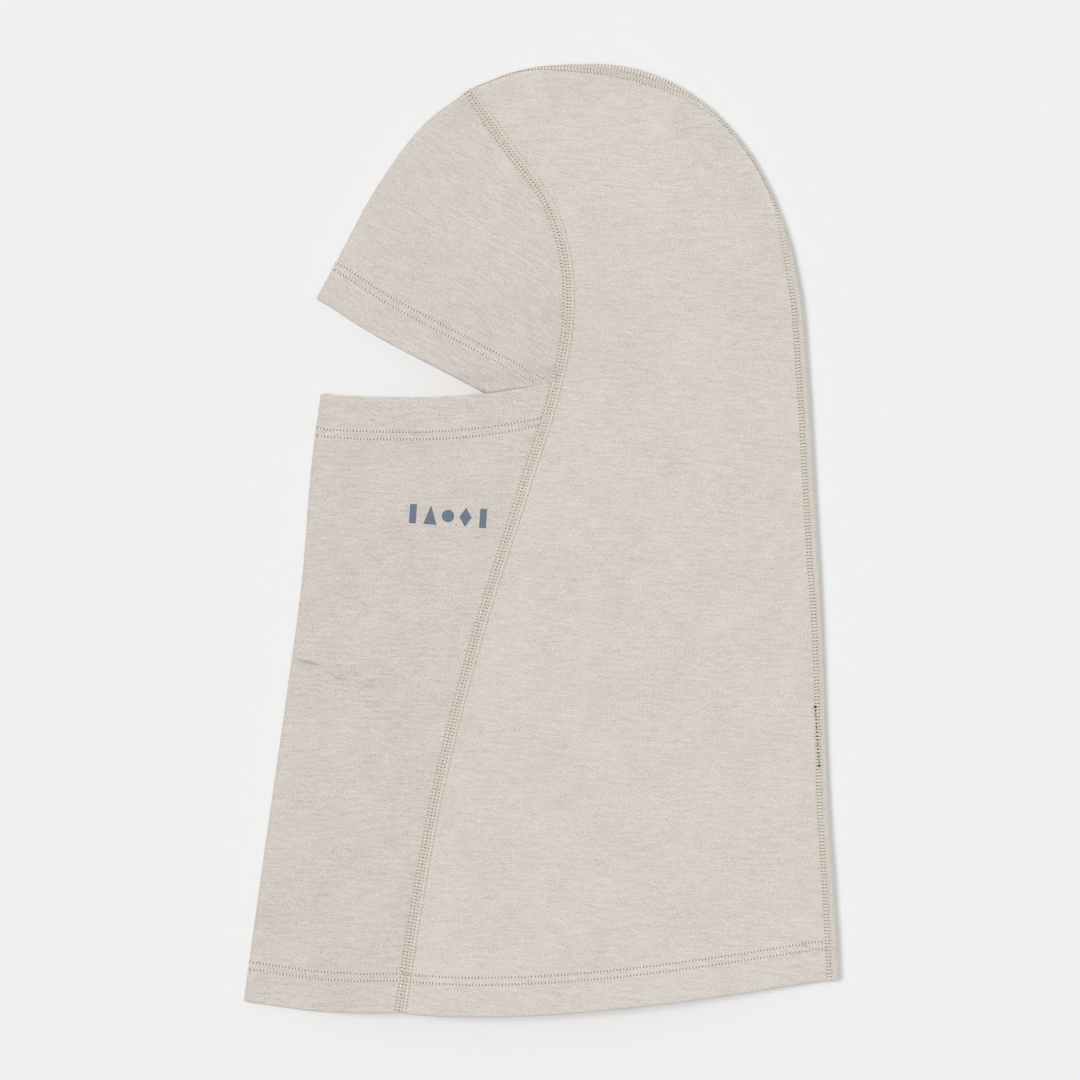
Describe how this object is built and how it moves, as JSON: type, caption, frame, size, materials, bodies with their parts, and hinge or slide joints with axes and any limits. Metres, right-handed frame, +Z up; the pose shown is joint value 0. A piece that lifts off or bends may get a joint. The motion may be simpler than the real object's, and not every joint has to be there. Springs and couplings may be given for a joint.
{
  "type": "balaclava",
  "caption": "Jersey balaclava laid flat: hood with a wedge-shaped face opening between a brow panel and a lower mouth and neck panel, flatlock seams, stitched hems and an open neck.",
  "frame": {"origin": "middle of the flat-laid garment in plan, on the surface it lies on", "axes": "+X towards the back of the head, +Y towards the crown, +Z up from the surface, out of the wearer's left side"},
  "size_m": [0.2992, 0.4771, 0.0152],
  "materials": {
    "jersey": "heathered greige wool jersey, matte with a faint fuzz",
    "seam_thread": "textured sewing thread, cream",
    "hem_thread": "textured sewing thread, matched to the cloth",
    "label_tape": "woven satin tape",
    "dark_thread": "dark sewing thread",
    "front_print": "matte slate transfer print"
  },
  "bodies": {
    "root": {"left_side_panel": "jersey", "right_side_panel": "jersey", "brow_panel": "jersey", "lower_front_panel": "jersey", "front_seam_cover_thread": "seam_thread", "front_seam_needle_thread_1": "seam_thread", "front_seam_needle_thread_2": "seam_thread", "front_seam_needle_thread_3": "seam_thread", "front_seam_needle_thread_4": "seam_thread", "front_seam_looper_thread": "seam_thread", "back_seam_cover_thread": "seam_thread", "back_seam_needle_thread_1": "seam_thread", "back_seam_needle_thread_2": "seam_thread", "back_seam_needle_thread_3": "seam_thread", "back_seam_needle_thread_4": "seam_thread", "back_seam_looper_thread": "seam_thread", "brow_hem_needle_thread_1": "hem_thread", "brow_hem_needle_thread_2": "hem_thread", "brow_hem_looper_thread": "hem_thread", "nose_hem_needle_thread_1": "hem_thread", "nose_hem_needle_thread_2": "hem_thread", "nose_hem_looper_thread": "hem_thread", "bottom_hem_needle_thread_1": "hem_thread", "bottom_hem_needle_thread_2": "hem_thread", "bottom_hem_looper_thread": "hem_thread", "neck_label": "label_tape", "label_tack_thread": "dark_thread", "print_bar_left": "front_print", "print_triangle": "front_print", "print_disc": "front_print", "print_diamond": "front_print", "print_bar_right": "front_print"}
  },
  "joints": []
}
